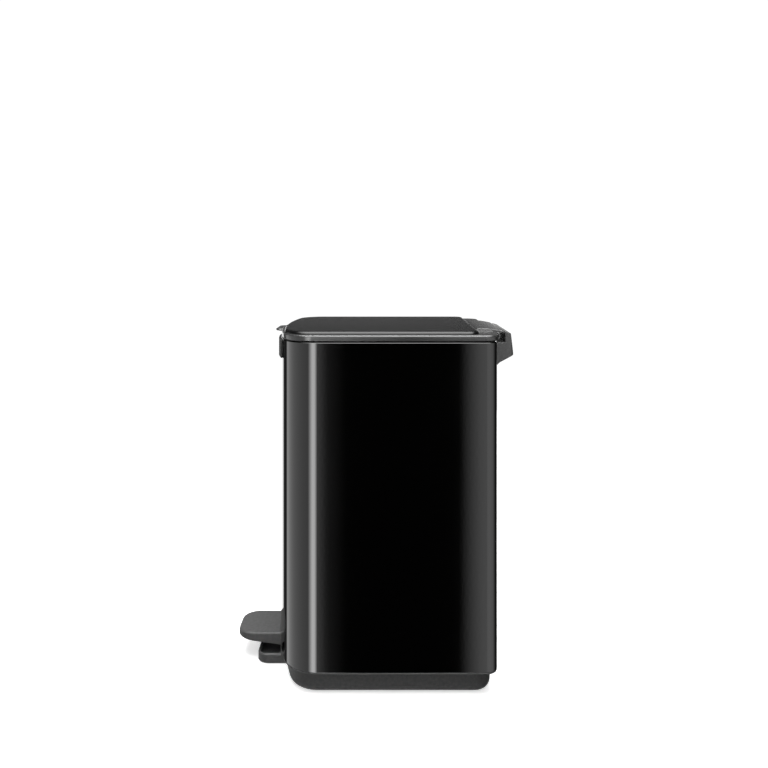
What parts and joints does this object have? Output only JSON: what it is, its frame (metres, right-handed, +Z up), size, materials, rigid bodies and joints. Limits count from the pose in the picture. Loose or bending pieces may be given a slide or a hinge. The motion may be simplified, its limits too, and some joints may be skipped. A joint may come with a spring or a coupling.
{
  "type": "pedal bin",
  "caption": "Small rectangular pedal bin: steel wrap with bowed front, hinged lid opened by a foot pedal, rear grip and lift-out bucket.",
  "frame": {"origin": "on the floor, at the centre of the overall footprint (pedal tip to hinge housing)", "axes": "+Z up; -Y is the front, where the pedal is; +Y is the hinge side; +X is the bin's own left seen from the front as the viewer's right"},
  "size_m": [0.1544, 0.225, 0.2752],
  "materials": {
    "black_paint": "gloss",
    "grey_plastic": "satin",
    "gloss_lid": "gloss",
    "dark_plastic": "matte",
    "bucket_plastic": "satin",
    "steel": "satin",
    "rubber": "matte"
  },
  "bodies": {
    "can": {"body_shell": "black_paint", "base_moulding": "grey_plastic", "top_collar": "dark_plastic", "badge_plate": "dark_plastic", "rod_guide": "dark_plastic", "hinge_housing": "grey_plastic", "hinge_pin": "steel", "damper_body": "dark_plastic", "pedal_axle": "steel", "foot_front_left": "rubber", "foot_front_right": "rubber", "foot_rear_left": "rubber", "foot_rear_right": "rubber", "housing_screw_left": "steel", "housing_screw_right": "steel", "axle_clip_left": "steel", "axle_clip_right": "steel"},
    "lid": {"lid_frame": "grey_plastic", "lid_panel": "gloss_lid", "lid_liner": "dark_plastic", "lid_bumper_left": "rubber", "lid_bumper_right": "rubber", "damper_rotor": "dark_plastic"},
    "pedal": {"pedal_pad": "grey_plastic", "pedal_lever": "steel", "axle_bush_left": "dark_plastic", "axle_bush_right": "dark_plastic"},
    "rod": {"push_rod": "steel", "rod_shoe": "dark_plastic", "rod_cap": "dark_plastic"},
    "bucket": {"bucket": "bucket_plastic"},
    "handle": {"bucket_handle": "steel"}
  },
  "joints": [
    {"name": "lid_hinge", "type": "hinge", "parent": "can", "child": "lid", "pos_m": [0, 0.0988, 0.2688], "axis": [-1, 0, 0], "range_deg": [0, 80]},
    {"name": "pedal_hinge", "type": "hinge", "parent": "can", "child": "pedal", "pos_m": [0, -0.056, 0.0155], "axis": [1, 0, 0], "range_deg": [0, 8.55]},
    {"name": "rod_slide", "type": "slide", "parent": "can", "child": "rod", "axis": [0, 0, 1], "range_m": [0, 0.02107]},
    {"name": "bucket_lift", "type": "slide", "parent": "can", "child": "bucket", "axis": [0, 0, 1], "range_m": [0, 0.003]},
    {"name": "handle_swing", "type": "hinge", "parent": "bucket", "child": "handle", "pos_m": [0, 0.005, 0.249], "axis": [1, 0, 0], "range_deg": [0, 7]}
  ],
  "couplings": [
    {"joint": "pedal_hinge", "follows": "lid_hinge", "ratio": 0.10689},
    {"joint": "rod_slide", "follows": "lid_hinge", "m_per_rad": 0.015087}
  ]
}
